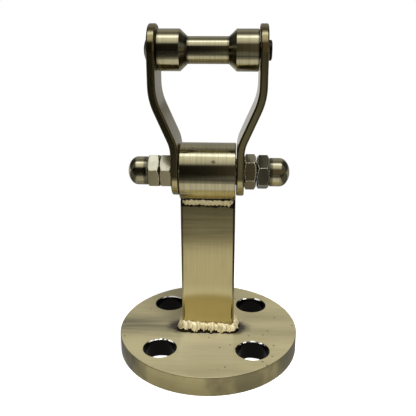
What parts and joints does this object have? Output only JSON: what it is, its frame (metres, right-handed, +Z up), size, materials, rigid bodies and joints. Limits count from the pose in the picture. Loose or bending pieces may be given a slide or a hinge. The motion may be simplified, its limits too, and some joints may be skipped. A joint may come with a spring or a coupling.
{
  "type": "flanged swivel pad eye",
  "caption": "Bolt-down flange and welded post with a bearing barrel; a stud swings two cranked straps that hold a waisted roller for a rope or shackle.",
  "frame": {"origin": "centre of the flange's underside, the face that is bolted down", "axes": "+Z up the post, away from the surface it is bolted to; X along the barrel, the stud and the roller; -Y towards the front"},
  "size_m": [0.1, 0.1, 0.1759],
  "materials": {
    "flange_brass": "satin lacquered, antiqued with darker streaks",
    "post_brass": "brushed lengthwise, antiqued, lacquered",
    "turned_brass": "turned and brushed round, antiqued, lacquered",
    "strap_brass": "brushed, antiqued, lacquered",
    "nut_brass": "plated, bright antique brass",
    "roller_brass": "turned and brushed round, antiqued, lacquered",
    "weld_metal": "rippled weld bead under the same plating",
    "axle_steel": "dark, chemically blackened",
    "stud_steel": "plain steel",
    "bearing_steel": "ground and polished",
    "shield_steel": "pressed, plated",
    "cage_steel": "pressed"
  },
  "bodies": {
    "base": {"base_flange": "flange_brass", "post": "post_brass", "base_weld": "weld_metal", "barrel_weld_front": "weld_metal", "barrel_weld_rear": "weld_metal", "barrel": "turned_brass", "left_outer_race": "bearing_steel", "right_outer_race": "bearing_steel", "left_bearing_shields": "shield_steel", "right_bearing_shields": "shield_steel"},
    "shackle": {"pivot_stud": "stud_steel", "bearing_spacer": "turned_brass", "left_inner_race": "bearing_steel", "right_inner_race": "bearing_steel", "left_shim_washer": "nut_brass", "right_shim_washer": "nut_brass", "left_strap": "strap_brass", "right_strap": "strap_brass", "left_lock_nut": "nut_brass", "right_lock_nut": "nut_brass", "left_dome_nut": "nut_brass", "right_dome_nut": "nut_brass", "roller_axle": "axle_steel"},
    "roller": {"roller": "roller_brass"},
    "left_ball_set": {"left_bearing_balls": "bearing_steel", "left_bearing_cage": "cage_steel"},
    "right_ball_set": {"right_bearing_balls": "bearing_steel", "right_bearing_cage": "cage_steel"}
  },
  "joints": [
    {"name": "shackle_swing", "type": "hinge", "parent": "base", "child": "shackle", "pos_m": [0, 0, 0.1024], "axis": [1, 0, 0], "range_deg": [-160, 160]},
    {"name": "roller_spin", "type": "hinge", "parent": "shackle", "child": "roller", "pos_m": [0, 0, 0.1634], "axis": [1, 0, 0], "continuous": true},
    {"name": "left_ball_orbit", "type": "hinge", "parent": "base", "child": "left_ball_set", "pos_m": [-0.01, 0, 0.1024], "axis": [1, 0, 0], "range_deg": [-65, 65]},
    {"name": "right_ball_orbit", "type": "hinge", "parent": "base", "child": "right_ball_set", "pos_m": [0.01, 0, 0.1024], "axis": [1, 0, 0], "range_deg": [-65, 65]}
  ],
  "couplings": [
    {"joint": "left_ball_orbit", "follows": "shackle_swing", "ratio": 0.3694},
    {"joint": "right_ball_orbit", "follows": "shackle_swing", "ratio": 0.3694}
  ]
}
